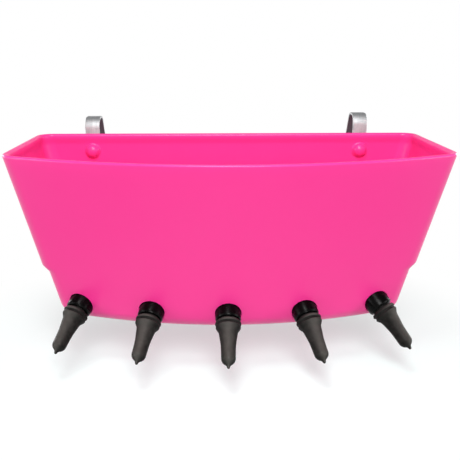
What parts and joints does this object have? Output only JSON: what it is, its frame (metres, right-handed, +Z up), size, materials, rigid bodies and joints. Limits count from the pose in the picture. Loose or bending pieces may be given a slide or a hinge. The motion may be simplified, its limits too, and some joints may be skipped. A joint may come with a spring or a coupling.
{
  "type": "multi-teat milk feeder",
  "caption": "Open moulded trough with a bowed front that hangs on a rail by steel strip hooks, with screw-on rubber teats low along its front for calves to drink from.",
  "frame": {"origin": "the rail seat: midway between the two hooks, at the mean height of the undersides of their flat crowns, where they rest on the rail", "axes": "+X to the right of someone who faces the front with the teats, +Y back towards the rail, +Z up"},
  "size_m": [0.798, 0.5002, 0.4036],
  "materials": {
    "pink_polyethylene": "satin rotational moulding, light sheen",
    "glossy_black_nylon": "glossy moulded",
    "black_nylon": "moulded",
    "nut_nylon": "moulded, matt",
    "seal_rubber": "matt",
    "teat_rubber": "satin, slightly bloomed natural rubber",
    "galvanised_steel": "galvanised strip, brushed lengthways",
    "zinc_plated_steel": "bright zinc plate",
    "brass": "turned"
  },
  "bodies": {
    "trough": {"trough": "pink_polyethylene", "spigot_1": "black_nylon", "seal_1": "seal_rubber", "locknut_1": "nut_nylon", "spigot_2": "black_nylon", "seal_2": "seal_rubber", "locknut_2": "nut_nylon", "spigot_3": "black_nylon", "seal_3": "seal_rubber", "locknut_3": "nut_nylon", "spigot_4": "black_nylon", "seal_4": "seal_rubber", "locknut_4": "nut_nylon", "spigot_5": "black_nylon", "seal_5": "seal_rubber", "locknut_5": "nut_nylon", "hook_left": "galvanised_steel", "hook_bolt_left": "zinc_plated_steel", "hook_washer_left": "zinc_plated_steel", "thread_insert_left": "brass", "hook_right": "galvanised_steel", "hook_bolt_right": "zinc_plated_steel", "hook_washer_right": "zinc_plated_steel", "thread_insert_right": "brass"},
    "teat_1": {"teat_1": "teat_rubber"},
    "teat_ring_1": {"teat_ring_1": "glossy_black_nylon"},
    "teat_2": {"teat_2": "teat_rubber"},
    "teat_ring_2": {"teat_ring_2": "glossy_black_nylon"},
    "teat_3": {"teat_3": "teat_rubber"},
    "teat_ring_3": {"teat_ring_3": "glossy_black_nylon"},
    "teat_4": {"teat_4": "teat_rubber"},
    "teat_ring_4": {"teat_ring_4": "glossy_black_nylon"},
    "teat_5": {"teat_5": "teat_rubber"},
    "teat_ring_5": {"teat_ring_5": "glossy_black_nylon"}
  },
  "joints": [
    {"name": "teat_1_slide", "type": "slide", "parent": "trough", "child": "teat_1", "axis": [-0.3604, -0.7389, -0.5693], "range_m": [0, 0.012]},
    {"name": "teat_ring_1_turn", "type": "hinge", "parent": "teat_1", "child": "teat_ring_1", "pos_m": [-0.2833, -0.27603, -0.3233], "axis": [-0.3604, -0.7389, -0.5693], "range_deg": [0, 1440]},
    {"name": "teat_2_slide", "type": "slide", "parent": "trough", "child": "teat_2", "axis": [-0.2184, -0.7874, -0.5764], "range_m": [0, 0.012]},
    {"name": "teat_ring_2_turn", "type": "hinge", "parent": "teat_2", "child": "teat_ring_2", "pos_m": [-0.147, -0.31625, -0.3233], "axis": [-0.2184, -0.7874, -0.5764], "range_deg": [0, 1440]},
    {"name": "teat_3_slide", "type": "slide", "parent": "trough", "child": "teat_3", "axis": [-0.014, -0.8037, -0.5948], "range_m": [0, 0.012]},
    {"name": "teat_ring_3_turn", "type": "hinge", "parent": "teat_3", "child": "teat_ring_3", "pos_m": [-0.0065, -0.33104, -0.3233], "axis": [-0.014, -0.8037, -0.5948], "range_deg": [0, 1440]},
    {"name": "teat_4_slide", "type": "slide", "parent": "trough", "child": "teat_4", "axis": [0.2731, -0.7505, -0.6018], "range_m": [0, 0.012]},
    {"name": "teat_ring_4_turn", "type": "hinge", "parent": "teat_4", "child": "teat_ring_4", "pos_m": [0.1348, -0.3186, -0.3233], "axis": [0.2731, -0.7505, -0.6018], "range_deg": [0, 1440]},
    {"name": "teat_5_slide", "type": "slide", "parent": "trough", "child": "teat_5", "axis": [0.5357, -0.5645, -0.628], "range_m": [0, 0.012]},
    {"name": "teat_ring_5_turn", "type": "hinge", "parent": "teat_5", "child": "teat_ring_5", "pos_m": [0.278, -0.27807, -0.3233], "axis": [0.5357, -0.5645, -0.628], "range_deg": [0, 1440]}
  ],
  "couplings": [
    {"joint": "teat_ring_1_turn", "follows": "teat_1_slide", "rad_per_m": 2094.4},
    {"joint": "teat_ring_2_turn", "follows": "teat_2_slide", "rad_per_m": 2094.4},
    {"joint": "teat_ring_3_turn", "follows": "teat_3_slide", "rad_per_m": 2094.4},
    {"joint": "teat_ring_4_turn", "follows": "teat_4_slide", "rad_per_m": 2094.4},
    {"joint": "teat_ring_5_turn", "follows": "teat_5_slide", "rad_per_m": 2094.4}
  ]
}
